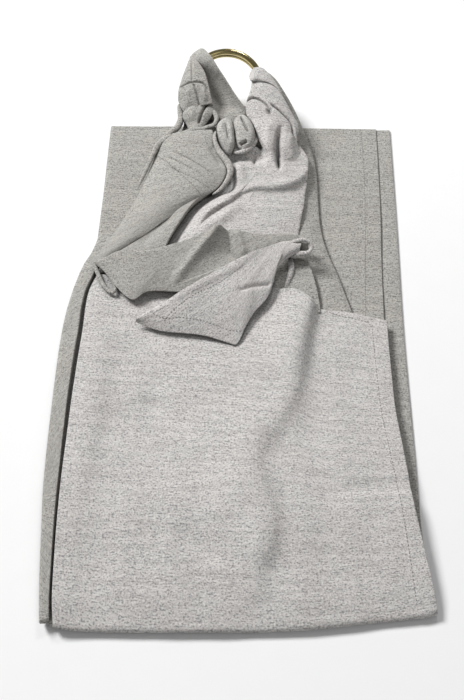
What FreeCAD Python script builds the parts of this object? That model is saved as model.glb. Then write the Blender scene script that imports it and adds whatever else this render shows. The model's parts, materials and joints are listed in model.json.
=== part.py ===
"""A ring sling: a wide hemmed cloth, folded into a flat stack, with two rings held in its gathered shoulder.

Frame: millimetres, +Z up, +Y towards the rings, +X towards the hemmed side of the fold.
Origin: near the middle of the stack's underside, which rests on z = 0.
Each leaf of the folded cloth, each gathered stretch of it, each ring and each run of stitching is a node.
"""

import FreeCAD
import Part
import os

V = FreeCAD.Vector

# ---- driving dimensions, mm ----
LEAF_WIDTH = 336.0  # half of the cloth's hemmed width
LEAF_LENGTH = 603.0  # one pass of the folded cloth
TOP = 297.0  # the far edge of the leaves, under the rings
LOWER_PLY = 2.0  # a lofty ply in the two lowest leaves
UPPER_PLY = 3.8  # the same for the two leaves on top
AIR = 0.4  # clear gap between neighbouring leaves
HEM = 17.0  # turned width of every hem
THREAD = 0.8  # laid thread with the cloth that it pulls down
THREAD_GAP = 0.05  # from the cloth to the thread that lies on it
RING_OUTER = 90.0
RING_BAR = 7.0
RING_GAP = 0.5  # between the two rings
RING_CLEARANCE = 0.5  # cloth to ring, all round
RING_TILT = 25.0  # degrees that the gathered cloth props the far side of the rings up
RING_CENTRE = V(-27, 331, 38)
BEND_LINE = 165.0  # the bundle at the rings bends up along this Y
FLAP_START = V(-118, 6, 0)  # low end of the fold that turns the tail's corner over
FLAP_ANGLE = 30.0  # of that fold, in degrees from +X
SPLIT = 1.0  # half of the gap between stretches on two bodies

# ---- places worked out from them ----
LEFT = 3 - LEAF_WIDTH / 2
RIGHT = LEAF_WIDTH / 2
BOTTOM = TOP - LEAF_LENGTH
Z_LOWER = (0.0, LOWER_PLY)
Z_UPPER = (LOWER_PLY + AIR, 2 * LOWER_PLY + AIR)
Z_SHOULDER = (Z_UPPER[1] + AIR, Z_UPPER[1] + AIR + UPPER_PLY)
Z_FRONT = (Z_SHOULDER[1] + AIR, Z_SHOULDER[1] + AIR + UPPER_PLY)
Z_GATHER = Z_FRONT[0] + 1
Z_DRAPE = (Z_FRONT[1] + 1.4, Z_FRONT[1] + 14)
Z_FLAP = (Z_DRAPE[1] + 2, Z_DRAPE[1] + 7)
SIDE_ROLL = 2.2  # radius of the lengthwise fold
SIDE_AXIS = V(LEFT - SIDE_ROLL - 0.2, 0, Z_LOWER[1] + AIR / 2)
CROSS_ROLL = 1.8  # radius of the crosswise fold, which the two upper leaves open about
CROSS_AXIS = V(0, BOTTOM - CROSS_ROLL - 0.6, Z_UPPER[1] + AIR / 2)
BOTTOM_ROLL = (Z_FRONT[1] - Z_SHOULDER[0]) / 2  # radius of the turn from the shoulder leaf to the front leaf
FRONT_BOTTOM = CROSS_AXIS.y + BOTTOM_ROLL + 0.8
RING_RADIUS = (RING_OUTER - RING_BAR) / 2
RING_OFFSET = (RING_BAR + RING_GAP) / 2


def slab(levels, start, *steps):
    """A closed outline in plan, raised between two levels. A step is a point, or (middle, end) of an arc."""
    edges = []
    here = V(*start, levels[0])
    for step in steps + (start,):
        if isinstance(step[0], tuple):
            middle, end = (V(*p, levels[0]) for p in step)
            edges.append(Part.Arc(here, middle, end).toShape())
        else:
            end = V(*step, levels[0])
            edges.append(Part.makeLine(here, end))
        here = end
    return Part.Face(Part.Wire(edges)).extrude(V(0, 0, levels[1] - levels[0]))


def corners_rounded(solid, radius):
    tall = 0.9 * solid.BoundBox.ZLength
    upright = [e for e in solid.Edges if abs(e.Vertexes[0].Z - e.Vertexes[-1].Z) > tall]
    return solid.makeFillet(radius, upright)


def bale(*sections):
    """A gathered stretch: rounded flat sections across the cloth, lofted along Y.

    Each section is (y, left, right, low, high).
    """
    wires = []
    for y, left, right, low, high in sections:
        cut = min(high - low, right - left) / 4
        points = [
            V(left + cut, y, low),
            V(right - cut, y, low),
            V(right, y, low + cut),
            V(right, y, high - cut),
            V(right - cut, y, high),
            V(left + cut, y, high),
            V(left, y, high - cut),
            V(left, y, low + cut),
        ]
        wires.append(Part.makePolygon(points + points[:1]))
    return Part.makeLoft(wires, True, True)


def thread(*points):
    """A laid line of stitching: a thin cord with straight runs and round corners."""
    corners = [V(*p) for p in points]
    runs = []
    for a, b in zip(corners, corners[1:]):
        runs.append(Part.makeCylinder(THREAD / 2, a.distanceToPoint(b), a, b - a))
    balls = [Part.makeSphere(THREAD / 2, corner) for corner in corners[1:-1]]
    return runs[0].fuse(runs[1:] + balls) if balls else runs[0]


# ---- the folded leaves ----
def base_leaf_lower():
    leaf = slab(Z_LOWER, (LEFT, BOTTOM), (RIGHT - 5, BOTTOM), (RIGHT + 2, TOP - 2), (LEFT, TOP - 2))
    return corners_rounded(leaf, 3)


def base_leaf_upper():
    leaf = slab(Z_UPPER, (LEFT, BOTTOM), (RIGHT - 30, BOTTOM), (RIGHT - 14, TOP), (LEFT, TOP))
    return corners_rounded(leaf, 3)


def lengthwise_fold():
    start = V(SIDE_AXIS.x, BOTTOM, SIDE_AXIS.z)
    return Part.makeCylinder(SIDE_ROLL, LEAF_LENGTH - 5, start, V(0, 1, 0))


def crosswise_fold():
    start = V(LEFT + 8, CROSS_AXIS.y, CROSS_AXIS.z)
    return Part.makeCylinder(CROSS_ROLL, LEAF_WIDTH - 35, start, V(1, 0, 0))


def shoulder_leaf():
    low = FRONT_BOTTOM
    bulge = ((-191, -60), (-172, low))
    return slab(Z_SHOULDER, (-163, 125), bulge, (RIGHT - 14, low), (RIGHT - 38, 4), (-20, 4), (-20, 125))


def front_leaf():
    low = FRONT_BOTTOM
    bulge = ((-171, -100), (-167, low))
    flare = ((152, -148), (RIGHT - 22, 14))
    return slab(Z_FRONT, (-160, 64), bulge, (RIGHT - 1, low), flare, (100, 28), (30, 64))


def bottom_fold():
    """The rounded turn that joins the shoulder leaf to the front leaf."""
    end = FRONT_BOTTOM - AIR
    start = V(LEFT - 1, end, Z_SHOULDER[0] + BOTTOM_ROLL)
    roll = Part.makeCylinder(BOTTOM_ROLL, LEAF_WIDTH - 4, start, V(1, 0, 0))
    inner_half = Part.makeBox(LEAF_WIDTH, 2 * BOTTOM_ROLL, 2 * BOTTOM_ROLL, V(LEFT - 3, end, Z_SHOULDER[0]))
    return roll.cut(inner_half)


# ---- gathered stretches that lie on the leaves ----
def shoulder_band():
    edge = BEND_LINE - SPLIT
    return bale((98, -163, -122, Z_GATHER, Z_GATHER + 8), (edge, -137, -70, Z_GATHER, Z_GATHER + 16))


def tail_upper():
    edge = BEND_LINE - SPLIT
    return bale((122, -50, 66, Z_GATHER, Z_GATHER + 16), (edge, -64, 62, Z_GATHER, Z_GATHER + 19))


def tail_feed_lower():
    edge = BEND_LINE - SPLIT
    return slab(Z_SHOULDER, (0, 10), (109, 10), ((86, 92), (78, edge)), (-10, edge), (-10, 10))


# ---- the bundle at the rings ----
def shoulder_gather():
    edge = BEND_LINE + SPLIT
    return bale(
        (edge, -134, -68, Z_GATHER, Z_GATHER + 17),
        (225, -119, -46, Z_GATHER, Z_GATHER + 20),
        (252, -92, -46, Z_GATHER + 1, Z_GATHER + 21),
        (276, -84, -50, Z_GATHER + 5, Z_GATHER + 29),
    )


def tail_throat():
    edge = BEND_LINE + SPLIT
    return bale(
        (edge, -62, 62, Z_GATHER, Z_GATHER + 19),
        (206, -42, 65, Z_GATHER, Z_GATHER + 26),
        (246, -42, 64, Z_GATHER, Z_GATHER + 33),
        (276, -44, 50, Z_GATHER + 2, Z_GATHER + 33),
    )


def tail_feed_upper():
    edge = BEND_LINE + SPLIT
    return slab(Z_SHOULDER, (0, edge), (78, edge), ((77, 225), (56, 300)), (34, 300))


def to_ring_place(shape):
    shape.rotate(V(0, 0, 0), V(1, 0, 0), RING_TILT)
    shape.translate(RING_CENTRE)
    return shape


def ring(side):
    return to_ring_place(Part.makeTorus(RING_RADIUS, RING_BAR / 2, V(0, 0, side * RING_OFFSET)))


def ring_wrap(start_angle, end_angle, radius):
    """Cloth wrapped round both rings between two angles of their circle, with a channel for each ring."""
    sleeve = Part.makeTorus(RING_RADIUS, radius, V(0, 0, 0), V(0, 0, 1), -180, 180, end_angle - start_angle)
    sleeve.rotate(V(0, 0, 0), V(0, 0, 1), start_angle)
    channel = RING_BAR / 2 + RING_CLEARANCE
    for side in (-1, 1):
        sleeve = sleeve.cut(Part.makeTorus(RING_RADIUS, channel, V(0, 0, side * RING_OFFSET)))
    return to_ring_place(sleeve)


# ---- the tail's free end, lying over the front ----
def tail_drape():
    return slab(
        Z_DRAPE, (-162, 72), (-141, 84), (-98, 88), (-46, 114), (62, 106), (22, 62), (-60, 26), (-122, 28)
    )


def to_flap_place(shape):
    shape.rotate(V(0, 0, 0), V(0, 0, 1), FLAP_ANGLE)
    shape.translate(FLAP_START)
    return shape


def tail_corner():
    """Outline in the fold's own frame: the fold runs along +X from the origin, and the corner hangs to -Y."""
    flap = slab(Z_FLAP, (0, 0), (11, -24), (58, -62), (75, -90), (124, -53), (158, -22), (200, -18), (202, 0))
    return to_flap_place(flap)


# ---- stitching ----
def shoulder_stitching():
    level = Z_GATHER + 21.2
    rows = []
    for i in range(4):
        rows.append(thread((-102 + 2 * i, 210 + 10 * i, level), (-56 + 2 * i, 178 + 10 * i, level)))
    return Part.makeCompound(rows)


def front_stitching():
    level = Z_FRONT[1] + THREAD / 2 + THREAD_GAP
    side = RIGHT - HEM
    return thread(
        (38, 52, level),
        (102, 20, level),
        (side - 20, 5, level),
        (side - 15, -150, level),
        (side - 2, FRONT_BOTTOM, level),
    )


def base_stitching():
    level = Z_UPPER[1] + THREAD / 2 + THREAD_GAP
    side = RIGHT - 14 - HEM
    return thread((side - 1, TOP - 4, level), (side - 3, 180, level))


def tail_stitching():
    level = Z_FLAP[1] + THREAD / 2 + THREAD_GAP
    end_hem = thread((28, -24, level), (64, -50, level), (88, -70, level))
    side_hem = thread((22, -12, level), (90, -14, level), (160, -10, level))
    return to_flap_place(Part.makeCompound([end_hem, side_hem]))


NODES = {
    "base_leaf_lower": base_leaf_lower,
    "base_leaf_upper": base_leaf_upper,
    "lengthwise_fold": lengthwise_fold,
    "crosswise_fold": crosswise_fold,
    "shoulder_leaf": shoulder_leaf,
    "front_leaf": front_leaf,
    "bottom_fold": bottom_fold,
    "shoulder_band": shoulder_band,
    "tail_upper": tail_upper,
    "tail_feed_lower": tail_feed_lower,
    "shoulder_gather": shoulder_gather,
    "tail_throat": tail_throat,
    "tail_feed_upper": tail_feed_upper,
    "ring_wrap_left": lambda: ring_wrap(119, 215, 13),
    "ring_wrap_bottom": lambda: ring_wrap(217, 323, 15),
    "ring_wrap_right": lambda: ring_wrap(325, 384, 13),
    "ring_front": lambda: ring(1),
    "ring_back": lambda: ring(-1),
    "tail_drape": tail_drape,
    "tail_corner": tail_corner,
    "shoulder_stitching": shoulder_stitching,
    "front_stitching": front_stitching,
    "base_stitching": base_stitching,
    "tail_stitching": tail_stitching,
}

os.makedirs("parts", exist_ok=True)
for name, make in NODES.items():
    make().exportStep(f"parts/{name}.step")
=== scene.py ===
"""A folded ring sling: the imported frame, dressed in woven cloth, brass and stitching.

Lengths are millimetres in the frame's own axes, unless a comment says metres. Outlines are offsets from
places that the frame gives: its origin, the middle of the rings, and the corner's hinge.
"""

import json
import math

import bmesh
import bpy
import numpy as np
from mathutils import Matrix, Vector
from mathutils.bvhtree import BVHTree


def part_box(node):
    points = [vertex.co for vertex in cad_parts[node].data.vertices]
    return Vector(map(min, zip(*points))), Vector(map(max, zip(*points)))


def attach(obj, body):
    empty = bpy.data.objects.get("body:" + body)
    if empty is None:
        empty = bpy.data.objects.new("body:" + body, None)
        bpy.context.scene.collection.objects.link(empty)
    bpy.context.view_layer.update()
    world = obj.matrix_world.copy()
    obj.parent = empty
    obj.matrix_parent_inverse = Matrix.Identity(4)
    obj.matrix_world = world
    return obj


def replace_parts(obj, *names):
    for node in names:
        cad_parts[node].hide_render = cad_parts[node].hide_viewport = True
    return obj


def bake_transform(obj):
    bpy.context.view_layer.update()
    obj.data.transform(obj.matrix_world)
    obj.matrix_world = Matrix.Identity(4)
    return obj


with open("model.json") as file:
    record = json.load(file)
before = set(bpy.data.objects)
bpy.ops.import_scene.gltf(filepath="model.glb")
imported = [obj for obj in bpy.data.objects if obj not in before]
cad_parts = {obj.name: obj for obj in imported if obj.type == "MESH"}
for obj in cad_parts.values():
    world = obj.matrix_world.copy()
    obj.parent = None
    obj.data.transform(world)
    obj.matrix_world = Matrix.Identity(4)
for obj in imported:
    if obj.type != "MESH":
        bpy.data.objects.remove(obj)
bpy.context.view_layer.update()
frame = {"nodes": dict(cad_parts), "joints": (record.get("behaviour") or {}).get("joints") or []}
MM = 0.001


# ---- places that the frame gives
def box_mm(node):
    low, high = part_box(node)
    return np.array(low) / MM, np.array(high) / MM


def joint(name):
    return next(j for j in frame["joints"] if j["name"] == name)


RINGS = (sum(box_mm("ring_front")) + sum(box_mm("ring_back"))) / 4
FLAP = np.array(joint("corner_lift")["pos_m"]) / MM
CROSS = np.array(joint("stack_unfold")["pos_m"]) / MM
BEND = np.array(joint("head_lift")["pos_m"]) / MM
BASE_LOW, BASE_HIGH = box_mm("base_leaf_lower")
UPPER_LOW, UPPER_HIGH = box_mm("base_leaf_upper")
ORIGIN = np.zeros(3)
SPIN = joint("ring_front_spin")["axis"]
TILT_SIN, TILT_COS = -SPIN[1], SPIN[2]
HEAD_BLEND = ("front", "head", BEND + (0, -15, 0), BEND + (0, 15, 0))
FLAP_BLEND = ("tail", "corner", FLAP + (0.5, -0.9, 0), FLAP + (8, -13.9, 0))
HEM = 17.0  # turned width of a hem
HALF_PLY = 0.8  # half the thickness of plain cloth, and how far its edges round off
EDGES = (HALF_PLY, HALF_PLY)
THREAD_PITCH = 0.62  # two threads of the weave
PATCH_GAP = 7.0  # sheets take their weave from patches this far apart, so that no two look the same
ROLL_PATCH = 31.0
LIP_ROWS = 5  # rows of faces that round off a border
PROBES = 400  # places where a surface's length is measured
ABOVE = 0.3  # metres, a height that clears the whole object
IMAGE_HEIGHT = 700
FOCAL_LENGTH = 938  # in the same pixels
DOWN = Vector((0, 0, -1))


# ---- smooth lines and surfaces
class Line:
    """A smooth line through points. Its parameter runs from 0 to 1, by point or, if even, by length.

    The spans are cubics, paced by the square root of each gap so that uneven points make no loops.
    """

    def __init__(self, points, even=False):
        p = np.asarray(points, float)
        if len(p) == 2:
            p = np.array([p[0], (p[0] + p[1]) / 2, p[1]])
        gap = np.sqrt(np.linalg.norm(np.diff(p, axis=0), axis=1)) + 1e-6
        slope = np.diff(p, axis=0) / gap[:, None]
        tangent = np.empty_like(p)
        before, after = gap[:-1, None], gap[1:, None]
        tangent[1:-1] = (slope[:-1] * after + slope[1:] * before) / (before + after)
        tangent[0] = slope[0] * 1.5 - tangent[1] * 0.5
        tangent[-1] = slope[-1] * 1.5 - tangent[-2] * 0.5
        steps = np.linspace(0, 1, 25)[:-1]
        runs = []
        for i in range(len(p) - 1):
            t = steps[:, None]
            g = gap[i]
            runs.append(
                (2 * t**3 - 3 * t**2 + 1) * p[i]
                + (t**3 - 2 * t**2 + t) * g * tangent[i]
                + (3 * t**2 - 2 * t**3) * p[i + 1]
                + (t**3 - t**2) * g * tangent[i + 1]
            )
        self.table = np.vstack(runs + [p[-1:]])
        self.keys = np.linspace(0, 1, len(self.table))
        self.length = np.linalg.norm(np.diff(self.table, axis=0), axis=1).sum()
        if even:
            run = np.r_[0, np.cumsum(np.linalg.norm(np.diff(self.table, axis=0), axis=1))]
            self.keys = run / run[-1]

    def __call__(self, t):
        return np.stack([np.interp(t, self.keys, c) for c in self.table.T], -1)


def eased(values, t):
    """A list of values spread evenly over 0 to 1, read smoothly at t."""
    values = np.atleast_1d(np.asarray(values, float))
    if len(values) == 1:
        return np.full(np.shape(t), values[0])
    return Line(np.stack([np.linspace(0, 1, len(values)), values], -1) * (1000, 1))(t)[..., 1]


def row_lengths(line):
    """The lengths of the short steps along a line."""
    return np.linalg.norm(np.diff(line(np.linspace(0, 1, PROBES)), axis=0), axis=1)


def loft(left, right, arch=0):
    """Straight across from a left line to a right line, or arched up by that much between them."""
    a, b = Line(left), Line(right)

    def surface(u, v):
        u3 = u[..., None]
        p = a(v) * (1 - u3) + b(v) * u3
        p[..., 2] += eased(arch, v) * 4 * u * (1 - u)
        return p

    surface.rows = np.maximum(row_lengths(a), row_lengths(b))
    return surface


def leaf(left, right, start, end):
    """A sheet between four lines: left and right run from the start line to the end line."""
    lines = [Line(k, even=True) for k in (left, right, start, end)]

    def surface(u, v):
        a, b, s, e = lines[0](v), lines[1](v), lines[2](u), lines[3](u)
        u3, v3 = u[..., None], v[..., None]
        corners = (1 - v3) * ((1 - u3) * lines[2](0.0) + u3 * lines[2](1.0))
        corners = corners + v3 * ((1 - u3) * lines[3](0.0) + u3 * lines[3](1.0))
        return (1 - u3) * a + u3 * b + (1 - v3) * s + v3 * e - corners

    surface.rows = row_lengths(lines[0])
    return surface


def even_count(length, mesh_step, lip_a, lip_b):
    """How many even places a length gets between the lips at its two ends."""
    inner = length - min(lip_a, length / 2) - min(lip_b, length / 2)
    return max(2, int(round(inner / mesh_step)) + 1)


def spaced(length, count, lip_a, lip_b):
    """Distances along a length: that many even ones, and closer ones in the rounded lips at its two ends."""
    lip_a, lip_b = min(lip_a, length / 2), min(lip_b, length / 2)
    turn = 1 - np.cos(np.linspace(0, math.pi / 2, LIP_ROWS + 1))[:-1]
    even = np.linspace(lip_a, length - lip_b, count)
    return np.concatenate([lip_a * turn, even, length - (lip_b * turn)[::-1]])


def rounding(distance, lip):
    """How far a lip has risen at a distance from its border, from 0 to 1."""
    q = np.clip(distance / np.maximum(lip, 1e-6), 0, 1)
    return np.sqrt(np.clip(1 - (1 - q) ** 2, 0, 1))


# ---- what shapes a sheet's surface
def along(xy, path):
    """Distance from a line in plan, which side of it (1 is left), and how far along it, for every point."""
    line = Line(path, even=True)(np.linspace(0, 1, 40))[:, :2]
    best = np.full(xy.shape[:-1], 1e9)
    side, place = np.zeros_like(best), np.zeros_like(best)
    for i in range(len(line) - 1):
        a, d = line[i], line[i + 1] - line[i]
        t = np.clip(((xy - a) @ d) / (d @ d), 0, 1)
        gap = xy - a - t[..., None] * d
        distance = np.hypot(gap[..., 0], gap[..., 1])
        closer = distance < best
        best = np.where(closer, distance, best)
        side = np.where(closer, np.sign(d[0] * gap[..., 1] - d[1] * gap[..., 0]), side)
        place = np.where(closer, (i + t) / (len(line) - 1), place)
    return best, side, place


def fading(place, head, tail):
    """Rises from 0 to 1 over the head of a line and falls back over its tail."""
    rise = np.clip(place / max(head, 1e-6), 0, 1)
    fall = np.clip((1 - place) / max(tail, 1e-6), 0, 1)
    return rise * rise * (3 - 2 * rise) * fall * fall * (3 - 2 * fall)


def valley(path, depth, width, head=0.3, tail=0.3):
    """A soft trough, or a ridge if depth is negative."""

    def height(xy, at):
        distance, _, place = along(xy, np.asarray(path, float) + at[:2])
        return -depth * np.exp(-((distance / width) ** 2)) * fading(place, head, tail)

    return height


def crease(path, depth, width=1.0):
    """A narrow sharp groove."""
    return valley(path, depth, width, 0.12, 0.12)


def bank(path, rise, width, reach):
    """A raised side on the left of the path, sloping down across it and easing away within the reach.

    rise and width may be lists along the path.
    """

    def height(xy, at):
        distance, side, place = along(xy, np.asarray(path, float) + at[:2])
        slope = 0.5 + 0.5 * np.tanh(side * distance / eased(width, place))
        return eased(rise, place) * slope * np.exp(-distance / reach)

    return height


def gully(crest, foot, depth):
    """A slope down from a crest line to a foot line on its left, which rises again sharply beyond the foot.

    It grows shallow towards the foot line's end.
    """

    def height(xy, at):
        crest_gap, crest_side, place = along(xy, np.asarray(crest, float) + at[:2])
        foot_gap, foot_side, foot_place = along(xy, np.asarray(foot, float) + at[:2])
        share = crest_gap / (crest_gap + foot_gap + 1e-6)
        inside = np.where(crest_side > 0, share, 0)
        shallower = np.interp(foot_place, [0.55, 0.85], [1, 0.35])
        return -shallower * eased(depth, place) * np.where(foot_side > 0, np.exp(-foot_gap / 4), inside)

    return height


def rumple(amount, size, seed, angle=0.0, stretch=1.0):
    """Gentle uneven waves of about that size, drawn out along an angle."""
    random = np.random.default_rng(seed)
    turns = random.uniform(0, 2 * math.pi, 14)
    pitches = random.uniform(0.6, 1.7, 14)
    shifts = random.uniform(0, 2 * math.pi, 14)

    def height(xy, at):
        c, s = math.cos(math.radians(angle)), math.sin(math.radians(angle))
        x = (xy[..., 0] * c + xy[..., 1] * s) / stretch
        y = -xy[..., 0] * s + xy[..., 1] * c
        total = 0
        for turn, pitch, shift in zip(turns, pitches, shifts):
            k = 2 * math.pi * pitch / size
            total = total + np.cos(k * (x * math.cos(turn) + y * math.sin(turn)) + shift) / pitch
        return amount * total / 4

    return height


# ---- from surface to closed mesh
def add_piece(name, points, faces, material, place, cloth=None):
    """A smooth closed mesh with its faces turned outwards, riding on a body, or left unattached if given a
    joint to span.
    """
    mesh = bpy.data.meshes.new(name)
    mesh.from_pydata([tuple(p) for p in np.asarray(points) * MM], [], faces)
    mesh.update()
    mesh.polygons.foreach_set("use_smooth", [True] * len(mesh.polygons))
    if cloth is not None:
        attribute = mesh.attributes.new("cloth", "FLOAT_VECTOR", "POINT")
        attribute.data.foreach_set("vector", (np.asarray(cloth) * MM).astype(np.float32).ravel())
    mesh.materials.append(material)
    piece = bpy.data.objects.new(name, mesh)
    bpy.context.scene.collection.objects.link(piece)
    work = bmesh.new()
    work.from_mesh(mesh)
    bmesh.ops.recalc_face_normals(work, faces=work.faces)
    work.to_mesh(mesh)
    work.free()
    if isinstance(place, str):
        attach(piece, place)
    else:
        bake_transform(piece)
    return piece


def tube_faces(rows, count):
    """The faces round a tube, whose points go round it row by row."""
    return [
        (r * count + k, r * count + (k + 1) % count, (r + 1) * count + (k + 1) % count, (r + 1) * count + k)
        for r in range(rows - 1)
        for k in range(count)
    ]


def closed_tube(rows, count):
    """The same, with a face over each end."""
    last = (rows - 1) * count
    return tube_faces(rows, count) + [tuple(range(count))[::-1], tuple(range(last, last + count))]


def closed_sheet(rows, columns):
    """The faces of a flat tube with closed ends, whose rows go over the top and back underneath."""
    count = 2 * columns - 2
    faces = tube_faces(rows, count)
    for first, order in ((0, -1), ((rows - 1) * count, 1)):
        for k in range(columns - 1):
            face = (first + k, first + k + 1, first + count - k - 1, first + (count - k) % count)
            faces.append(face[::order])
    return faces


def welded(points, faces, cloth, tolerance=0.004):
    """Merges points that coincide and drops the faces that this closes up."""
    keys = {}
    index = np.empty(len(points), int)
    kept = []
    for i, p in enumerate(np.round(points / tolerance).astype(np.int64)):
        key = (p[0], p[1], p[2])
        if key not in keys:
            keys[key] = len(kept)
            kept.append(i)
        index[i] = keys[key]
    result = []
    for face in faces:
        ring = [index[i] for i in face]
        ring = [a for i, a in enumerate(ring) if a != ring[i - 1]]
        if len(set(ring)) >= 3 and len(set(ring)) == len(ring):
            result.append(tuple(int(i) for i in ring))
    return points[kept], result, cloth[kept]


def hemmed(borders, hems):
    """The extra height of the turned hems, each with a groove just inside its edge."""
    height = np.zeros(borders[0].shape)
    for distance, hem in zip(borders, hems):
        if hem:
            fold = 0.5 - 0.5 * np.tanh(distance - hem)
            groove = 0.45 * np.exp(-(((distance - hem + 2.2) / 0.7) ** 2))
            height = np.maximum(height, 0.8 * fold) - groove
    return height


def laid_flat(ring, columns, places, grain, patch):
    """Where each point of a sheet lies in its flat cloth, turned by the grain, and in which patch."""
    steps = np.linalg.norm(np.diff(ring, axis=1), axis=2)
    across = np.concatenate([np.zeros((len(ring), 1)), np.cumsum(steps, axis=1)], axis=1)
    across -= across[:, columns // 2][:, None]
    down = np.repeat(places[:, None], ring.shape[1], 1)
    c, s = math.cos(math.radians(grain)), math.sin(math.radians(grain))
    return np.stack([across * c - down * s, across * s + down * c, np.full(down.shape, patch)], -1)


def sheet(
    name, surface, material, *, place, at=ORIGIN, top=HALF_PLY, under=HALF_PLY, lips=EDGES, ends=EDGES,
    hems=(0, 0, 0, 0), shapes=(), through=True, mesh_step=2.0, grain=0.0,
):
    """A closed sheet on a surface of (u, v), with u across it and v along it.

    top and under are its heights above and below the surface, as lists along v. lips and ends are the widths
    over which it rounds off at its left, right, start and end. hems are turned widths at those borders.
    shapes are height functions, which move both sides if through is true, else the top only. grain turns
    its weave. place is the body that it rides on; a piece that spans a joint is given a tuple instead and is
    left unattached.
    """
    size = surface.rows.sum()
    run = np.r_[0, np.cumsum(surface.rows)] / size
    places = spaced(size, even_count(size, mesh_step, *ends), *ends)
    v_rows = np.interp(places / size, run, np.linspace(0, 1, len(run)))
    probe = np.linspace(0, 1, 60)
    widths = []
    for v in v_rows:
        across = surface(probe, np.full(60, v))
        widths.append(np.linalg.norm(np.diff(across, axis=0), axis=1).sum())
    widths = np.maximum(widths, 1e-3)
    inner = even_count(widths.max(), mesh_step, *lips)
    u = np.stack([spaced(width, inner, *lips) / width for width in widths])
    rows, columns = u.shape
    v = np.repeat(v_rows[:, None], columns, 1)
    middle = surface(u, v) + at
    reach = widths[:, None]
    borders = (u * reach, (1 - u) * reach, places[:, None] + 0 * u, size - places[:, None] + 0 * u)
    rounded = (np.minimum(lips[0], reach / 2), np.minimum(lips[1], reach / 2), *ends)
    round_off = math.prod(rounding(distance, lip) for distance, lip in zip(borders, rounded))
    lift = sum((shape(middle[..., :2], at) for shape in shapes), np.zeros(u.shape))
    if through:
        middle[..., 2] += lift
    normal = np.cross(np.gradient(middle, axis=1), np.gradient(middle, axis=0))
    normal /= np.linalg.norm(normal, axis=-1, keepdims=True) + 1e-9
    if normal[..., 2].mean() < 0:
        normal = -normal
    high = eased(top, v) + hemmed(borders, hems) + (0 if through else lift)
    upper = middle + normal * (high * round_off)[..., None]
    lower = middle - normal * (eased(under, v) * round_off)[..., None]
    ring = np.concatenate([upper, lower[:, -2:0:-1]], axis=1)
    patch = sum(map(ord, name)) % 97 * PATCH_GAP
    cloth = laid_flat(ring, columns, places, grain, patch)
    points, faces, cloth = welded(ring.reshape(-1, 3), closed_sheet(rows, columns), cloth.reshape(-1, 3))
    return add_piece(name, points, faces, material, place, cloth)


def roll(name, path, widths, material, *, place, at=ORIGIN, flat=0.8, shapes=(), mesh_step=1.6):
    """A thin rolled fold of cloth: a tapering oval tube along a line, with its rows closer near the ends."""
    line = Line(np.asarray(path, float) + at, even=True)
    rows = max(8, int(line.length / mesh_step))
    bunched = (1 - np.cos(np.linspace(0, math.pi, rows))) / 2
    t = bunched * 0.35 + np.linspace(0, 1, rows) * 0.65
    centre = line(t)
    tangent = np.gradient(centre, axis=0)
    tangent /= np.linalg.norm(tangent, axis=1)[:, None]
    side = np.cross(tangent, (0, 0, 1.0))
    side /= np.linalg.norm(side, axis=1)[:, None]
    up = np.cross(side, tangent)
    radius = eased(widths, t) / 2 * np.sqrt(np.clip(1 - (2 * t - 1) ** 10, 0.0004, 1))
    around = np.linspace(0, 2 * math.pi, 21)[:-1]
    ring = (
        centre[:, None]
        + side[:, None] * (radius[:, None] * np.cos(around))[..., None]
        + up[:, None] * (flat * radius[:, None] * np.sin(around))[..., None]
    )
    for shape in shapes:
        ring[..., 2] += shape(ring[..., :2], at) * np.clip(np.sin(around), 0, 1)
    count = len(around)
    turned = radius.max() * np.repeat(around[None], rows, 0)
    down = np.repeat((t * line.length)[:, None], count, 1)
    cloth = np.stack([turned, down, np.full((rows, count), ROLL_PATCH)], -1)
    faces = closed_tube(rows, count)
    return add_piece(name, ring.reshape(-1, 3), faces, material, place, cloth.reshape(-1, 3))


def stitches(name, cloth, rows, place, pitch=3.4, length=2.5, thick=0.34):
    """Rows of stitches in the top of a piece of cloth, each a short thread that dips in at both ends."""
    mesh = cloth.data
    ground = BVHTree.FromPolygons([v.co for v in mesh.vertices], [p.vertices for p in mesh.polygons])
    around = np.linspace(0, 2 * math.pi, 7)[:-1]
    reach = np.linspace(-0.5, 0.5, 5)
    rise = np.array([-0.30, 0.08, 0.22, 0.08, -0.30])
    girth = np.array([0.5, 0.95, 1.0, 0.95, 0.5]) * thick
    upright = np.array([0, 0, 1])
    points, faces = [], []
    for row in rows:
        line = Line([(*p, 0) for p in row], even=True)
        count = int(line.length / pitch)
        centres = line((np.arange(count) + 0.5) / count)
        ahead = np.gradient(centres, axis=0)
        ahead /= np.linalg.norm(ahead, axis=1)[:, None]
        for centre, way in zip(centres, ahead):
            spots = centre + reach[:, None] * length * way
            hits = [ground.ray_cast(Vector((x * MM, y * MM, ABOVE)), DOWN)[0] for x, y, _ in spots]
            if None in hits:
                continue
            side = np.array([-way[1], way[0], 0])
            first = len(points)
            for spot, hit, up, r in zip(spots, hits, rise, girth):
                middle = np.array([spot[0], spot[1], hit.z / MM + up])
                points += [middle + r * (math.cos(a) * side + math.sin(a) * upright) for a in around]
            faces += [tuple(first + i for i in face) for face in closed_tube(len(reach), len(around))]
    return add_piece(name, points, faces, THREAD, place)


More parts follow.
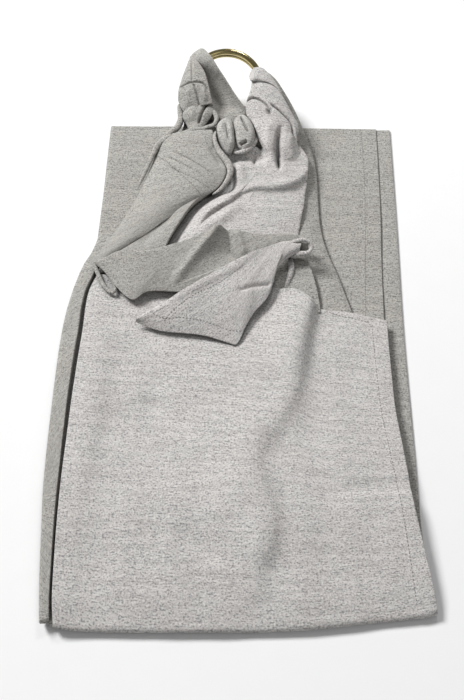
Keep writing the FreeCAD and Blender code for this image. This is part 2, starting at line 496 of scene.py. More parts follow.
# ---- materials
class Nodes:
    """Short calls for building a node tree."""

    def __init__(self, name):
        self.material = bpy.data.materials.new(name)
        self.material.use_nodes = True
        self.tree = self.material.node_tree
        self.tree.nodes.clear()

    def node(self, kind, inputs=None, **settings):
        made = self.tree.nodes.new(kind)
        for key, value in settings.items():
            setattr(made, key, value)
        for key, value in (inputs or {}).items():
            if isinstance(value, bpy.types.NodeSocket):
                self.tree.links.new(value, made.inputs[key])
            else:
                made.inputs[key].default_value = value
        return made

    def math(self, operation, a, b=0.0, c=0.0):
        return self.node("ShaderNodeMath", {0: a, 1: b, 2: c}, operation=operation).outputs[0]

    def mix(self, factor, a, b, blend="MIX"):
        made = self.node("ShaderNodeMix", {"Factor": factor}, data_type="RGBA", blend_type=blend)
        for key, value in ((6, a), (7, b)):
            if isinstance(value, bpy.types.NodeSocket):
                self.tree.links.new(value, made.inputs[key])
            else:
                made.inputs[key].default_value = (*value, 1)
        return made.outputs[2]

    def scaled(self, vector, x, y, z):
        return self.node("ShaderNodeVectorMath", {0: vector, 1: (x, y, z)}, operation="MULTIPLY").outputs[0]

    def noise(self, vector, scale, detail=2.0, roughness=0.5):
        made = self.node(
            "ShaderNodeTexNoise", {"Vector": vector, "Scale": scale, "Detail": detail, "Roughness": roughness}
        )
        return made.outputs[0]

    def ramp(self, factor, low, high):
        """A smooth rise from 0 to 1 as the factor goes from low to high."""
        made = self.node("ShaderNodeMapRange", {0: factor, 1: low, 2: high, 3: 0.0, 4: 1.0})
        made.interpolation_type = "SMOOTHSTEP"
        return made.outputs[0]

    def bump(self, strength, distance, height, **normal):
        inputs = {"Strength": strength, "Distance": distance, "Height": height, **normal}
        return self.node("ShaderNodeBump", inputs).outputs[0]

    def finish(self, inputs):
        """The finished material: one shader with these inputs."""
        shader = self.node("ShaderNodeBsdfPrincipled", inputs).outputs[0]
        self.node("ShaderNodeOutputMaterial", {"Surface": shader})
        return self.material


def cloth_material(name, ground, dark, pale):
    """Heather cloth: an uneven plain weave of pale and dark fibre with slubs along the weft, and painted
    shade in its creases.
    """
    n = Nodes(name)
    mm = n.scaled(n.node("ShaderNodeAttribute", attribute_name="cloth").outputs["Vector"], 1000, 1000, 1000)
    slub = n.noise(n.scaled(mm, 0.16, 0.62, 1), 1.0, 2.0, 0.6)
    warp = n.noise(n.scaled(mm, 0.75, 0.3, 1), 1.0, 1.0, 0.5)
    fleck = n.noise(n.scaled(mm, 0.55, 0.66, 1), 1.0, 1.0, 0.6)
    band = n.noise(n.scaled(mm, 0.02, 0.16, 1), 1.0, 2.0, 0.5)
    cloud = n.noise(mm, 0.022, 2.0, 0.5)
    mixed = n.math("ADD", n.math("MULTIPLY", slub, 0.42), n.math("MULTIPLY", fleck, 0.58))
    dark_mask = n.math("MULTIPLY", n.ramp(mixed, 0.515, 0.62), 0.78)
    warp_mask = n.math("MULTIPLY", n.ramp(warp, 0.56, 0.75), 0.30)
    pale_mask = n.math("MULTIPLY", n.math("SUBTRACT", 1.0, n.ramp(mixed, 0.37, 0.49)), 0.75)
    colour = n.mix(n.ramp(band, 0.35, 0.65), tuple(0.90 * c for c in ground), tuple(1.08 * c for c in ground))
    colour = n.mix(n.ramp(cloud, 0.35, 0.65), colour, (0.50, 0.49, 0.49), "OVERLAY")
    colour = n.mix(pale_mask, colour, pale)
    colour = n.mix(warp_mask, colour, dark)
    colour = n.mix(dark_mask, colour, dark)
    parts = n.node("ShaderNodeSeparateXYZ", {0: mm}).outputs
    ends = n.math("SINE", n.math("MULTIPLY", parts[0], 2 * math.pi / THREAD_PITCH))
    picks = n.math("SINE", n.math("MULTIPLY", parts[1], 2 * math.pi / THREAD_PITCH))
    weave = n.math("MULTIPLY", ends, picks)
    colour = n.mix(n.math("MULTIPLY_ADD", weave, 0.08, 0.08), colour, dark)
    # Painted shade: where other surfaces lie within 14 mm, the colour darkens towards 0.35 of the dark
    # fibre's colour.
    painted_crease_shade = n.node("ShaderNodeAmbientOcclusion", {"Distance": 0.014}, samples=6).outputs["AO"]
    colour = n.mix(n.ramp(painted_crease_shade, 0.05, 0.72), tuple(0.35 * c for c in dark), colour)
    height = n.math("ADD", n.math("MULTIPLY", weave, 0.12), n.math("MULTIPLY", mixed, 0.8))
    fine = n.bump(0.6, 0.0005, height)
    soft = n.bump(0.4, 0.0015, n.noise(mm, 0.10, 3.0, 0.5), Normal=fine)
    return n.finish(
        {
            "Base Color": colour,
            "Roughness": 0.92,
            "Specular IOR Level": 0.25,
            "Sheen Weight": 0.2,
            "Sheen Roughness": 0.45,
            "Sheen Tint": (*pale, 1),
            "Normal": soft,
        }
    )


def thread_material():
    n = Nodes("sewing_thread")
    at = n.node("ShaderNodeTexCoord").outputs["Object"]
    waves = {"Vector": at, "Scale": 900.0, "Distortion": 2.0}
    twist = n.node("ShaderNodeTexWave", waves, wave_type="BANDS").outputs[1]
    colour = n.mix(twist, (0.15, 0.145, 0.14), (0.27, 0.26, 0.25))
    bump = n.bump(0.4, 0.0002, twist)
    return n.finish({"Base Color": colour, "Roughness": 0.7, "Sheen Weight": 0.3, "Normal": bump})


def brass_material():
    """Satin brass, brushed round the ring, a little darker and rougher where it's handled."""
    n = Nodes("ring_brass")
    at = n.node("ShaderNodeTexCoord").outputs["Object"]
    brush = n.noise(n.scaled(at, 900, 900, 2600), 1.0, 2.0, 0.5)
    haze = n.noise(at, 55.0, 3.0, 0.6)
    colour = n.mix(n.ramp(haze, 0.35, 0.75), (0.60, 0.51, 0.25), (0.44, 0.37, 0.17))
    rough = n.math("MULTIPLY_ADD", haze, 0.14, 0.09)
    bump = n.bump(0.12, 0.0001, brush)
    return n.finish({"Base Color": colour, "Metallic": 1.0, "Roughness": rough, "Normal": bump})


# Three copies of one cloth, each darker than the one before. Each piece takes the copy that gives it the
# right brightness, so the two darker copies carry painted shade for the pieces that wear them.
CLOTH_PALE = cloth_material("cloth_pale", (0.61, 0.59, 0.572), (0.20, 0.198, 0.205), (0.85, 0.83, 0.79))
CLOTH_MID_SHADED = cloth_material("cloth_mid_shaded", (0.50, 0.485, 0.455), (0.16, 0.16, 0.165), (0.74, 0.73, 0.69))
CLOTH_DARK_SHADED = cloth_material("cloth_dark_shaded", (0.435, 0.424, 0.39), (0.13, 0.131, 0.135), (0.64, 0.63, 0.59))
THREAD = thread_material()
BRASS = brass_material()


# ---- the leaves at the bottom of the stack
def base_cloth():
    """The two lowest leaves: one ply on the ground, round the fold at the left, and one ply back over it."""
    left = BASE_LOW[0]
    low, high = CROSS[1] + 9, UPPER_HIGH[1]
    fold_z = (BASE_HIGH[2] + UPPER_LOW[2]) / 2
    radius = 1.2
    lower_right = Line(
        [(171, high, 0), (168, 150, 0), (164, 0, 0), (163, -200, 0), (161, -265, 0), (146, low, 0)],
        even=True,
    )
    upper_right = Line(
        [(154, high, 0), (151, 180, 0), (147, 95, 0), (144, 0, 0), (141, -265, 0), (128, low, 0)],
        even=True,
    )

    def surface(u, v):
        y = high + (low - high) * v
        b, a = lower_right(v)[..., 0], upper_right(v)[..., 0]
        turn = math.pi * radius
        total = (b - left) + turn + (a - left)
        s = u * total
        p = np.zeros(u.shape + (3,))
        on_lower, on_upper = s < b - left, s > b - left + turn
        angle = np.clip((s - (b - left)) / radius, 0, math.pi)
        beyond = np.where(on_upper, s - (b - left + turn), -radius * np.sin(angle))
        p[..., 0] = np.where(on_lower, b - s, left + beyond)
        near = np.clip((p[..., 0] - 20) / 120, 0, 1)
        p[..., 1] = y + 19 * v**6 * near * near * (3 - 2 * near)
        p[..., 2] = fold_z - radius * np.cos(angle)
        wave = 0.35 * np.sin(y / 31 + p[..., 0] / 55) + 0.25 * np.sin(y / 17 - p[..., 0] / 23)
        p[..., 2] += np.where(on_upper, 0.3 + wave * np.clip((p[..., 0] - left) / 40, 0, 1), 0)
        return p

    surface.rows = np.full(PROBES - 1, (high - low) / (PROBES - 1))
    piece = sheet(
        "base_cloth", surface, CLOTH_DARK_SHADED, top=0.65, under=0.65, lips=(0.65, 0.65), ends=(0.6, 0.6),
        hems=(HEM, HEM, 0, 0), mesh_step=3.0, place="base",
    )
    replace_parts(piece, "base_leaf_lower", "base_leaf_upper", "lengthwise_fold", "crosswise_fold")
    return piece


def cross_fold():
    """The cloth that runs on from the base, round the crosswise fold, into the leaves on top."""
    y, radius = CROSS[1] + 5, 1.9
    z = CROSS[2] + radius
    upper = loft([(-171, y + 13, z), (-169, y, z)], [(50, y + 13, z), (44, y, z)])
    sheet(
        "cross_fold", turned_back(upper, radius, 12), CLOTH_DARK_SHADED, top=0.6, under=0.6, lips=(0.6, 0.6),
        ends=(0.5, 0.5), mesh_step=1.5, place=("base", "front", (0, y, CROSS[2] - radius), (0, y, z)),
    )


# ---- the two leaves on top
def turned_back(surface, radius, back):
    """The same surface, carried on at its far end round a half turn under itself and a little way back."""
    length = surface.rows.sum()
    turn = math.pi * radius
    total = length + turn + back

    def carried(u, v):
        s = v * total
        p = surface(u, np.clip(s / length, 0, 1))
        angle = np.clip((s - length) / radius, 0, math.pi)
        p[..., 1] += -radius * np.sin(angle) + np.clip(s - length - turn, 0, back)
        p[..., 2] += -radius * (1 - np.cos(angle))
        return p

    carried.rows = np.full(PROBES - 1, total / (PROBES - 1))
    return carried


def shoulder_leaf():
    left = [
        (-163, 126, 7), (-170, 98, 7), (-176, 84, 7), (-183, 57, 7), (-189, 18, 7), (-191, -19, 7),
        (-191, -89, 7), (-189, -175, 7), (-186, -214, 7), (-181, -270, 7), (-177, -304, 7),
    ]
    right = [
        (-20, 120, 7), (20, 100, 7), (60, 60, 7), (90, 40, 7), (115, 10, 7), (122, -40, 7), (128, -90, 7),
        (134, -160, 7), (140, -210, 7), (144, -255, 7), (147, -283, 7),
    ]
    piece = sheet(
        "shoulder_leaf", loft(left, right), CLOTH_DARK_SHADED, top=0.7, under=2, lips=(6, 0.7), ends=(0.6, 3),
        mesh_step=3.0, shapes=[rumple(0.4, 90, 3)], through=False, place="front",
    )
    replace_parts(piece, "shoulder_leaf", "tail_feed_lower")
    inner = [
        (-146, 124, 12), (-156, 95, 12), (-165, 66, 12), (-171, 44, 12.5), (-173.5, -12, 13),
        (-175.5, -85, 13), (-174.5, -191, 12), (-171, -272, 11), (-168.5, -302, 9),
    ]
    sheet(
        "shoulder_fold", loft([(x, y, 11) for x, y, _ in left], inner), CLOTH_DARK_SHADED, top=1.5, under=8, lips=(6, 1.2),
        ends=(4, 3), mesh_step=1.8, through=False, place="front", shapes=[rumple(0.3, 60, 41)],
    )
    return piece


def front_panel():
    z = 11.0
    left = [
        (-160, 68, z), (-167, 47, z), (-169, -12, z), (-171, -85, z), (-171, -191, z), (-168, -280, z),
        (-165, -304.5, z),
    ]
    right = [
        (146, 14, z), (146, -58, z), (147, -92, z), (152, -148, z), (156, -195, z), (163, -242, z),
        (168, -276, z), (169, -287, z),
    ]
    top = [
        (-160, 68, z), (-60, 66, z), (10, 54, z), (38, 47, 13), (53, 45, 13), (64, 36, 12), (76, 27, 12),
        (103, 24, 12), (146, 14, z),
    ]
    low = [
        (-165, -304.5, z), (-155, -306.5, z), (-38, -306.5, z), (48, -303.5, z), (105, -297, z),
        (158, -290, z), (169, -287, z),
    ]
    panel = leaf(left, right, top, low)
    surface = turned_back(panel, 2.3, 14)
    piece = sheet(
        "front_panel", surface, CLOTH_PALE, ends=(0.8, 0.5), hems=(0, HEM, 9, 0), mesh_step=3.0, place="front",
        shapes=[
            rumple(0.7, 60, 5, 80, 1.6),
            bank(
                [
                    (10, -300), (13, -281), (16, -260), (25, -232), (27, -202), (16, -169), (13, -142),
                    (31, -111), (49, -76), (65, -1), (75, 55), (80, 77),
                ],
                [0, 4, 8, 10, 11, 11, 11, 12, 13, 14, 13, 10], [8, 9, 10, 13, 15, 15, 13, 11, 8, 6, 4, 4], 48,
            ),
            valley([(-109, -79), (-86, -95), (-49, -119)], 2.5, 8),
            valley([(-69, -218), (-41, -235), (-14, -252)], 2.0, 8),
            valley([(-41, -135), (-36, -158)], 1.2, 5),
            valley([(71, -187), (107, -175), (160, -174)], 2.0, 7, 0.4, 0.05),
            valley([(-220, -200), (-114, -205), (-41, -200), (78, -185), (220, -185)], -4.0, 60, 0.02, 0.02),
            bank([(-158, -320), (-152, -200), (-144, -90), (-142, 0), (-144, 90)], [3, 6, 10, 6, 0], 24, 60),
            valley([(-200, -312), (-38, -314), (60, -310), (200, -292)], 4.5, 22, 0.02, 0.02),
        ],
    )
    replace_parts(piece, "front_leaf", "bottom_fold")
    return piece


# ---- gathered stretches
def shoulder_panel():
    left = [
        (-61, -69, -14), (-76, -75, -18), (-82, -98, -21), (-92, -138, -22), (-105, -176, -23),
        (-122, -212, -24), (-134, -236, -26), (-143, -253, -28),
    ]
    right = [
        (-15, -67, -6), (-10, -86, -7), (-2, -111, -9), (3, -128, -10), (-7, -150, -13), (-41, -173, -17),
        (-90, -216, -21), (-132, -246, -26),
    ]
    piece = sheet(
        "shoulder_panel", loft(left, right, [4, 7, 8, 8, 7, 5, 3, 1]), CLOTH_DARK_SHADED, at=RINGS, top=1.0,
        under=[7, 8, 8, 8, 7, 5, 3, 1], lips=(3, 3), ends=(4, 1), place=HEAD_BLEND, mesh_step=1.3,
        shapes=[
            rumple(0.7, 40, 11, 135, 2.0),
            crease([(-73, -99), (-45, -120), (-17, -143)], 1.6, 1.1),
            crease([(-72, -112), (-42, -135), (-13, -155)], 1.4, 1.1),
            crease([(-80, -95), (-48, -134), (-20, -168)], 1.0, 1.1),
            crease([(-62, -96), (-35, -116), (-12, -134)], 1.6, 1.1),
            valley([(-18, -92), (-10, -108), (-2, -124)], 2.2, 3, 0.2, 0.3),
        ],
    )
    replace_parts(piece, "shoulder_gather", "shoulder_band", "shoulder_stitching")
    return piece


def shoulder_under():
    """The cloth that shows in the shadow between the shoulder and the tail."""
    left = [
        (-27, -150, -18), (-50, -172, -20), (-80, -200, -22), (-110, -228, -24), (-128, -246, -25),
        (-134, -262, -26),
    ]
    right = [
        (-12, -150, -13), (-22, -159, -13), (-34, -172, -14), (-47, -195, -16), (-60, -224, -19),
        (-66, -248, -23),
    ]
    return sheet(
        "shoulder_under", loft(left, right, 1), CLOTH_DARK_SHADED, at=RINGS, top=0.8, under=5, lips=(2, 1), ends=(2, 1),
        place="front", shapes=[valley([(-45, -178), (-72, -205), (-95, -235)], 2.5, 6)],
    )


def tail_panel():
    left = [
        (-4, -94, -10), (0, -114, -11), (0, -132, -13), (-2, -144, -15), (-12, -152, -17), (-28, -162, -19),
        (-41, -178, -21), (-50, -195, -22), (-58, -212, -23), (-64, -228, -24), (-68, -238, -24),
        (-71, -246, -25),
    ]
    right = [
        (87, -81, -16), (96, -100, -18), (96, -114, -20), (95, -124, -20), (94, -138, -20), (92, -150, -21),
        (90, -167, -21), (87, -184, -22), (84, -202, -23), (81, -220, -23), (79, -234, -24), (76, -246, -24),
    ]
    piece = sheet(
        "tail_panel", loft(left, right, [4, 4, 4, 4, 4, 5, 6, 7, 7, 6, 5, 4]), CLOTH_PALE, at=RINGS, top=1.0,
        under=[12, 12, 10, 9, 8, 7, 5, 4, 3, 2], lips=(2, 3), ends=(4, 2), place=HEAD_BLEND, mesh_step=1.2,
        shapes=[
            bank(
                [(17, -159), (31, -152), (55, -150), (76, -144), (88, -134), (95, -122)],
                [2, 5, 6, 8, 8, 5], [1, 2, 3, 3, 3, 2], 15,
            ),
            bank([(-26, -203), (-18, -188), (-5, -177), (10, -166), (19, -155)], [1, 5, 6, 5, 2], 0.9, 12),
            bank([(36, -67), (47, -93), (58, -121), (64, -133)], [4, 4, 3, 1], 1.2, 12),
            valley([(68, -60), (62, -78), (61, -101), (63, -130)], 9, 3.2, 0.35, 0.3),
            valley([(38, -70), (42, -86), (36, -104)], 6, 5, 0.2, 0.3),
            valley([(35, -88), (34, -103), (35, -120)], 4, 2.6, 0.3, 0.4),
            valley([(8, -100), (4, -128), (8, -146), (-4, -160)], 6, 7, 0.2, 0.3),
            valley(
                [(-64, -244), (-58, -226), (-46, -197), (-31, -172), (-4, -151), (14, -150)],
                7, 10, 0.05, 0.2,
            ),
            valley([(2, -103), (25, -104), (52, -104)], 8, 9, 0.1, 0.2),
            valley([(20, -112), (18, -130), (24, -146)], -2.5, 5),
            valley([(14, -172), (32, -191), (44, -204), (58, -216)], 2.2, 5),
            valley([(-30, -224), (-20, -206), (-2, -193), (18, -169)], -3.5, 7),
            rumple(0.35, 40, 17),
        ],
    )
    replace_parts(piece, "tail_upper", "tail_throat", "tail_feed_upper")
    return piece


def feeds():
    """The edges of the tail cloth that show beside the tail panel, each a narrow sheet under the next."""
    outer = [
        (74, 260, 10), (79, 222, 9), (80, 173, 8), (81, 144, 8), (86, 111, 8), (97, 76, 8), (109, 32, 8),
        (113, 18, 7),
    ]
    middle = [(60, 140, 12), (74, 117, 10), (82, 93, 9), (91, 52, 9), (94, 33, 9), (97, 15, 9)]
    inner = [(57, 99, 20), (67, 78, 19), (72, 59, 18), (76, 35, 15), (77, 21, 14)]
    runs = {
        "feed_outer": (outer, 36, 4, 2.5, 0.7, HEAD_BLEND),
        "feed_middle": (middle, 30, 2, 1, 0.7, "front"),
        "feed_inner": (inner, 45, -4, 1, 7, "front"),
    }
    for name, (right, width, rise, arch, under, place) in runs.items():
        left = [(x - width, y - 8, z + rise * min(1, max(0, (y - 40) / 90))) for x, y, z in right]
        sheet(
            name, loft(left, right, arch), CLOTH_DARK_SHADED, top=0.7, under=under, lips=(0.7, 1.0), ends=(0.7, 0.7),
            place=place, shapes=[rumple(0.4, 50, 23)],
        )
    roll(
        "feed_pleat", [(40, 98, 19), (45, 86, 21), (47, 73, 21), (44, 60, 19), (40, 48, 16)],
        [4, 6, 7, 6, 4], CLOTH_PALE, place="front",
    )


def ring_cloth():
    """What is wrapped round the rings, gathered beside them and pulled through them."""
    fine = {"at": RINGS, "place": "head", "mesh_step": 0.7}
    fat = {"top": [2, 5, 7, 7, 6, 3], "under": [6, 9, 10, 10, 8, 5], "lips": (7, 7), "through": False}
    round_rings = [
        (41.5 * math.cos(a), 41.5 * math.sin(a) * TILT_COS, 41.5 * math.sin(a) * TILT_SIN)
        for a in np.radians(np.arange(140, 386, 7))
    ]
    roll("ring_core", round_rings, 13, CLOTH_DARK_SHADED, at=RINGS, flat=1.4, place="head")
    sheet(
        "wrap_inner",
        loft(
            [
                (-33, 45, 16), (-43, 31, 17), (-41, 22, 17), (-31, 14, 3), (-25, -3, -6), (-19, -22, -9),
                (-9, -42, -9), (-4, -56, -14),
            ],
            [
                (-28, 38, 23), (-18, 21, 26), (-10, 9, 21), (0, -4, 13), (9, -15, 5), (21, -29, -3),
                (30, -37, -8), (34, -52, -14),
            ],
            [1, 2, 1, -3, -4, -3, -1, 0],
        ),
        CLOTH_DARK_SHADED, top=1, under=1, lips=(1, 1), ends=(2.5, 1), **fine,
        shapes=[valley([(-20, 8), (-12, -12), (0, -34)], 2.5, 5)],
    )
    sheet(
        "gather_floor",
        loft(
            [(-52, -22, -16), (-50, -45, -20), (-56, -66, -22), (-60, -72, -24)],
            [(-40, -12, -16), (-18, -40, -17), (-14, -66, -20), (-22, -82, -22)],
        ),
        CLOTH_DARK_SHADED, **fine,
    )
    left = sheet(
        "wrap_left",
        loft(
            [(-44, 34, 14), (-49, 17, 11), (-54, 1, 6), (-57, -13, 1), (-56, -25, -4), (-49, -37, -8)],
            [(-41, 31, 20), (-32, 15, 20), (-25, 2, 18), (-21, -12, 14), (-18, -23, 9), (-15, -33, 3)],
            [0, 3, 4, 4, 3, 2],
        ),
        CLOTH_DARK_SHADED, top=1, under=[3, 6, 6, 6, 5, 3], lips=(6, 1), ends=(1.5, 1), **fine, through=False,
        shapes=[
            crease([(-57, -9), (-48, -8), (-37, -9), (-27, -12), (-20, -22)], 2.4, 0.9),
            crease([(-42, 24), (-41, 8), (-40, -9)], 1.7, 0.8),
            crease([(-39, -9), (-34, -23), (-30, -38)], 2.8, 1.1),
            valley([(-47, -14), (-44, -24), (-42, -34)], -1.5, 4),
            valley([(-28, -16), (-25, -24), (-22, -32)], -1.5, 3),
        ],
    )
    sheet(
        "wrap_left_fold",
        loft(
            [(-47, -31, -6), (-51, -42, -9), (-46, -52, -13), (-43, -60, -14), (-44, -70, -14)],
            [(-15, -31, -1), (-15, -41, -4), (-22, -52, -10), (-28, -60, -12), (-34, -70, -14)],
            [3, 4, 4, 3, 1],
        ),
        CLOTH_DARK_SHADED, top=1, under=6, lips=(3, 1.5), ends=(3, 2), **fine, through=False,
        shapes=[
            crease([(-19, -26), (-26, -39), (-32, -56)], 4, 1.4),
            valley([(-40, -28), (-40, -54)], -1.5, 5),
        ],
    )
    roll(
        "roll_outer",
        [
            (-56, -20, -10), (-54, -31, -12), (-53, -42, -14), (-57, -53, -16), (-66, -62, -18),
            (-78, -74, -20),
        ],
        [6, 7.5, 8, 8, 7, 5], CLOTH_DARK_SHADED, at=RINGS, place="head",
    )
    roll(
        "roll_hook",
        [
            (-99, -148, -21), (-91, -122, -19), (-83, -96, -17), (-75, -77, -16), (-64, -70, -15),
            (-50, -66, -13), (-35, -63, -10), (-22, -61, -8), (-12, -55, -7), (-11, -46, -5),
            (-16, -38, -4), (-23, -40, -6), (-28, -48, -9), (-32, -57, -12),
        ],
        [2, 4, 5, 5.5, 7, 7.5, 7, 6, 5.5, 5.5, 5.5, 5, 3], CLOTH_DARK_SHADED, at=RINGS, place=HEAD_BLEND,
        shapes=[rumple(0.5, 12, 53)],
    )
    roll(
        "roll_snake",
        [
            (-11, -72, -2), (-12, -84, -1), (-9, -97, -2), (-3, -108, -4), (4, -118, -6), (7, -129, -7),
            (4, -141, -9), (-3, -151, -12), (-13, -158, -15),
        ],
        [3, 4.5, 5.5, 7, 8, 7.5, 6, 4.5, 3], CLOTH_MID_SHADED, at=RINGS, place=HEAD_BLEND, shapes=[rumple(0.4, 14, 59)],
    )
    low = sheet(
        "knuckle_left",
        loft(
            [(0, -46, -9), (-7, -56, -5), (-10, -66, -3), (-9, -78, -4), (-6, -90, -6), (1, -102, -9)],
            [(3, -46, -9), (8, -56, -5), (10, -68, -3), (11, -80, -4), (11, -92, -6), (6, -104, -9)],
        ),
        CLOTH_MID_SHADED, ends=(6, 6), **fine, **fat,
        shapes=[valley([(1, -62), (3, -76), (6, -91)], 2.8, 1.7), valley([(-4, -60), (-4, -80)], -1, 2.5)],
    )
    sheet(
        "knuckle_right",
        loft(
            [(17, -40, -9), (11, -50, -6), (9, -60, -4), (11, -75, -5), (13, -87, -7), (17, -95, -10)],
            [(21, -40, -9), (27, -50, -5), (33, -65, -4), (35, -77, -5), (32, -90, -7), (24, -98, -10)],
        ),
        CLOTH_MID_SHADED, ends=(6, 5), **fine, **fat,
        shapes=[
            crease([(18, -51), (22, -64), (27, -76)], 4.0, 1.4),
            crease([(18, -91), (21, -89), (26, -87)], 5, 1.5),
        ],
    )
    roll(
        "knuckle_lip", [(9, -98, -10), (17, -99, -9), (26, -95, -8), (33, -86, -8), (37, -74, -9)],
        [4, 6, 6.5, 6, 4], CLOTH_PALE, at=RINGS, place="head",
    )
    right = sheet(
        "wrap_right",
        loft(
            [(33, 13, 14), (38, 17, 14), (44, 16, 13), (52, 8, 10), (60, -3, 6), (64, -12, 3), (67, -22, 0)],
            [(30, 9, 13), (28, 2, 13), (29, -6, 14), (37, -8, 15), (46, -9, 15), (55, -13, 13), (64, -22, 9)],
            [3, 3, 4, 4, 3, 2, 1],
        ),
        CLOTH_PALE, top=1, under=[5, 7, 8, 8, 7, 5, 3], lips=(5, 0.8), ends=(3, 2), **fine, through=False,
        shapes=[
            crease([(28, -12), (36, -8), (45, -12), (60, -25)], 2, 1.4),
            bank([(62, -14), (54, -4), (42, 6)], 1.5, 3, 10),
        ],
    )
    sheet(
        "bundle_right",
        loft(
            [
                (30, -2, 10), (29, -14, 8), (24, -28, 1), (24, -41, -3), (31, -60, -6), (36, -73, -8),
                (45, -94, -10), (51, -110, -17), (56, -124, -24),
            ],
            [
                (50, -2, 12), (61, -15, 10), (71, -32, 5), (79, -47, -1), (86, -60, -6), (84, -72, -9),
                (84, -82, -11), (91, -100, -19), (94, -122, -27),
            ],
            [2, 4, 6, 8, 8, 8, 7, 6, 4],
        ),
        CLOTH_PALE, top=1.2, under=[4, 7, 9, 11, 11, 9, 8, 5], lips=(3, 6), ends=(3, 6), **fine, through=False,
        shapes=[
            crease([(22, -30), (30, -26), (45, -36), (52, -46)], 3.5, 1.2),
            valley([(50, -43), (52, -52)], 4.5, 2.5),
            crease([(50, -36), (67, -50), (76, -60), (80, -77), (86, -81)], 4, 1.2),
            valley([(68, -60), (62, -78), (61, -101), (63, -130)], 9, 3.2, 0.35, 0.1),
            bank([(63, -122), (47, -93), (36, -67)][::-1], 3, 1.2, 12),
            valley([(58, -56), (50, -74), (54, -100)], -2, 4),
            valley([(76, -70), (74, -90), (78, -110)], -2, 5),
        ],
    )
    sheet(
        "feed_upper",
        loft(
            [
                (34, 14, 9), (46, 8, 3), (56, -6, -5), (64, -24, -13), (70, -45, -19), (74, -70, -24),
                (76, -99, -28),
            ],
            [
                (42, 19, 9), (57, 11, 3), (70, -6, -5), (81, -24, -13), (91, -48, -20), (99, -74, -25),
                (105, -103, -29),
            ],
            [2, 3, 3, 2, 2, 1, 1],
        ),
        CLOTH_DARK_SHADED, top=1, under=1, lips=(1, 1), ends=(2, 1), **fine,
    )
    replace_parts(left, "ring_wrap_left")
    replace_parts(low, "ring_wrap_bottom")
    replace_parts(right, "ring_wrap_right")


# ---- the tail's free end
def drape():
    top = [
        (-47, 74, -9), (-34, 76, -4), (-19, 82, 0), (10, 81, 2), (36, 88, 4), (55, 95, 5), (75, 105, 7),
        (89, 112, 8), (111, 107, 6), (129, 103, 4), (152, 105, 3), (172, 105, 2), (187, 96, 0),
    ]
    low = [
        (-46, 72, -11), (-35, 62, -10), (-21, 43, -10), (-6, 27, -10), (0, 25, -10), (12, 34, -9),
        (28, 36, -9), (50, 36, -8), (76, 49, -6), (99, 62, -4), (121, 76, -2), (140, 86, 0), (162, 92, 0),
        (183, 93, -1),
    ]
    piece = sheet(
        "drape", loft(top, low, 1), CLOTH_DARK_SHADED, at=FLAP, lips=(2.5, 0.8), ends=(1, 1), place="tail",
        mesh_step=1.3, grain=80,
        shapes=[
            gully(
                [(93, 122), (91, 116), (78, 97), (65, 80), (53, 62), (41, 46), (30, 30)],
                [(95, 122), (96, 113), (98, 103), (101, 86), (108, 73), (112, 62)], [6, 12, 16, 14, 10],
            ),
            valley([(88, 118), (78, 97), (65, 80), (53, 62), (36, 39)], -3, 5, 0.1, 0.2),
            valley([(101, 112), (110, 93), (116, 72)], -3, 4),
            rumple(0.4, 50, 29),
        ],
    )
    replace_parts(piece, "tail_drape")
    roll(
        "drape_loop",
        [
            (-49, 76, -9), (-43, 64, -11), (-37, 51, -12), (-31, 41, -12), (-24, 35, -12), (-21, 39, -12),
            (-26, 52, -11), (-34, 66, -10),
        ],
        [4, 4.5, 4.5, 4, 3.5, 3.5, 3.5, 3], CLOTH_DARK_SHADED, at=FLAP, place="tail",
    )
    return piece


def flap():
    top = [
        (4, -1, -9), (17, 8, -5), (33, 16, -1), (50, 28, 2), (78, 47, 4), (94, 58, 5), (110, 68, 6),
        (123, 76, 7), (135, 82, 7), (148, 88, 7), (155, 91, 7), (163, 92, 7), (171, 93, 6), (176, 92, 5),
    ]
    low = [
        (4, -2, -11), (13, -6, -12), (29, -12, -12), (50, -15, -11), (75, -18, -11), (100, -25, -13),
        (107, -27, -13), (110, -24, -12), (116, -9, -9), (125, 8, -7), (138, 24, -4), (143, 37, -2),
        (145, 56, -1), (155, 68, 1), (173, 81, 2),
    ]
    piece = sheet(
        "flap", loft(top, low, 3), CLOTH_PALE, at=FLAP, place=FLAP_BLEND, mesh_step=1.5, grain=75,
        shapes=[
            rumple(0.3, 45, 31),
            valley([(104, 29), (111, 31), (125, 36), (144, 40)], 2.5, 2.5, 0.3, 0.1),
            bank([(36, 12), (79, 38), (110, 58), (128, 77), (142, 86)], [1, 2.5, 3, 3, 1], 3.5, 22),
        ],
    )
    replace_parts(piece, "tail_corner", "tail_stitching")
    roll(
        "flap_curl",
        [
            (162, 89, 6), (171, 92, 8), (180, 93, 8), (186, 89, 6), (186, 84, 4), (181, 80, 2),
            (173, 80, 1), (164, 76, 0),
        ],
        [3, 5, 4.5, 4, 4, 6, 7, 4], CLOTH_PALE, at=FLAP, place=FLAP_BLEND,
    )
    sheet(
        "flap_lining",
        loft(
            [(158, 89, 3), (170, 91, 5), (183, 90, 5)],
            [(158, 75, -2), (170, 79, -1), (184, 83, 2)],
            [-3, -4, -3],
        ),
        CLOTH_DARK_SHADED, at=FLAP, top=0.6, under=0.6, lips=(0.6, 0.6), ends=(0.6, 0.6), place=FLAP_BLEND, mesh_step=1,
    )
    return piece


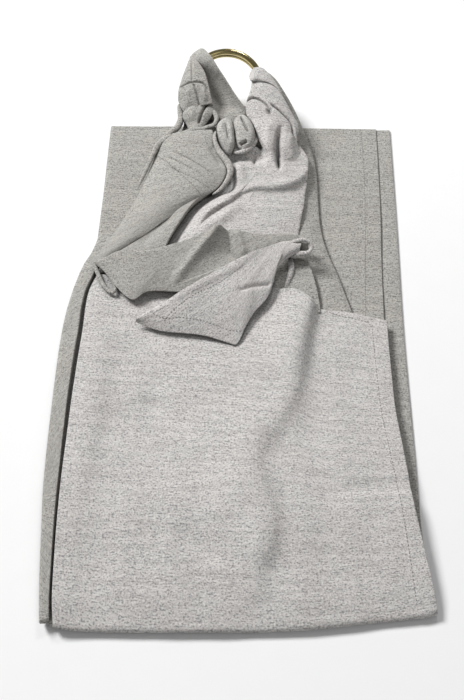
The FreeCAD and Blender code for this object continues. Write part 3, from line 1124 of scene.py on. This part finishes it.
def seams(base, front, shoulder, tip):
    """The rows of stitching, each thread bedded in the cloth it holds."""
    edges = [
        [(130, 4), (131, -58), (133, -100), (140, -160), (145, -210), (151, -284)],
        [(-150, 60), (-60, 61), (10, 55)],
        [(82, 24), (104, 17), (128, 11)],
    ]
    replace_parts(stitches("front_stitches", front, edges, "front"), "front_stitching")
    side = [[(135, 340), (135, 214), (128, 80), (125, 20)]]
    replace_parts(stitches("base_stitches", base, side, "base"), "base_stitching")
    gathers = [
        [(-71, -101), (-45, -120), (-17, -143)],
        [(-70, -114), (-42, -135), (-13, -155)],
        [(-78, -97), (-48, -134), (-20, -168)],
        [(-60, -98), (-35, -116), (-12, -134)],
    ]
    stitches("shoulder_stitches", shoulder, [row + RINGS[:2] for row in gathers], HEAD_BLEND)
    hems = [
        [(18, 6), (32, -1), (53, -1), (75, -4), (103, -13), (113, -13)],
        [(33, -5), (40, 4), (61, 22), (82, 34), (97, 45), (114, 60)],
    ]
    stitches("flap_stitches", tip, [row + FLAP[:2] for row in hems], FLAP_BLEND)


base_piece = base_cloth()
cross_fold()
shoulder_leaf()
front_piece = front_panel()
shoulder_piece = shoulder_panel()
shoulder_under()
tail_panel()
feeds()
ring_cloth()
drape()
flap_piece = flap()
seams(base_piece, front_piece, shoulder_piece, flap_piece)


# ---- the stage
def add_stage():
    """A pale matt floor, 6 metres square."""
    mesh = bpy.data.meshes.new("floor")
    mesh.from_pydata([(-3, -3, 0), (3, -3, 0), (3, 3, 0), (-3, 3, 0)], [], [(0, 1, 2, 3)])
    floor = bpy.data.objects.new("floor", mesh)
    bpy.context.scene.collection.objects.link(floor)
    n = Nodes("floor")
    speck = n.noise(n.node("ShaderNodeTexCoord").outputs["Object"], 40.0)
    colour = n.mix(speck, (0.93, 0.93, 0.93), (0.95, 0.95, 0.95))
    mesh.materials.append(n.finish({"Base Color": colour, "Roughness": 0.9}))


def add_light(name, place, target, size, power):
    """A round soft light, with its place, target and size in metres and its power in watts."""
    data = bpy.data.lights.new(name, "AREA")
    data.shape = "DISK"
    data.size = size
    data.energy = power
    light = bpy.data.objects.new(name, data)
    light.location = place
    light.rotation_euler = (Vector(target) - Vector(place)).to_track_quat("-Z", "Y").to_euler()
    bpy.context.scene.collection.objects.link(light)


def add_camera():
    """Above the near end of the stack, looking down at it past the rings."""
    data = bpy.data.cameras.new("camera")
    data.sensor_fit = "VERTICAL"
    data.sensor_height = 36
    data.angle_y = 2 * math.atan(IMAGE_HEIGHT / 2 / FOCAL_LENGTH)
    camera = bpy.data.objects.new("camera", data)
    camera.location = Vector((-6.7, -530.9, 822)) * MM
    camera.rotation_euler = (math.radians(32), 0, math.radians(0.9))
    bpy.context.scene.collection.objects.link(camera)
    bpy.context.scene.camera = camera


add_stage()
add_light("key", (-2.5, 2.0, 2.9), (0, 0, 0), 1.5, 194)
add_light("glint", (0.2, 1.15, 1.3), tuple(RINGS * MM), 0.3, 5)
add_light("fill", (0.9, -1.1, 1.5), (0, 0, 0), 1.8, 5)
add_camera()
world = bpy.data.worlds.new("world")
world.use_nodes = True
background = world.node_tree.nodes["Background"].inputs
background["Color"].default_value = (1, 1, 1, 1)
background["Strength"].default_value = 0.17
bpy.context.scene.world = world
bpy.context.scene.view_settings.view_transform = "Standard"

for node in ("ring_front", "ring_back"):
    metal = frame["nodes"][node]
    metal.data.materials.clear()
    metal.data.materials.append(BRASS)
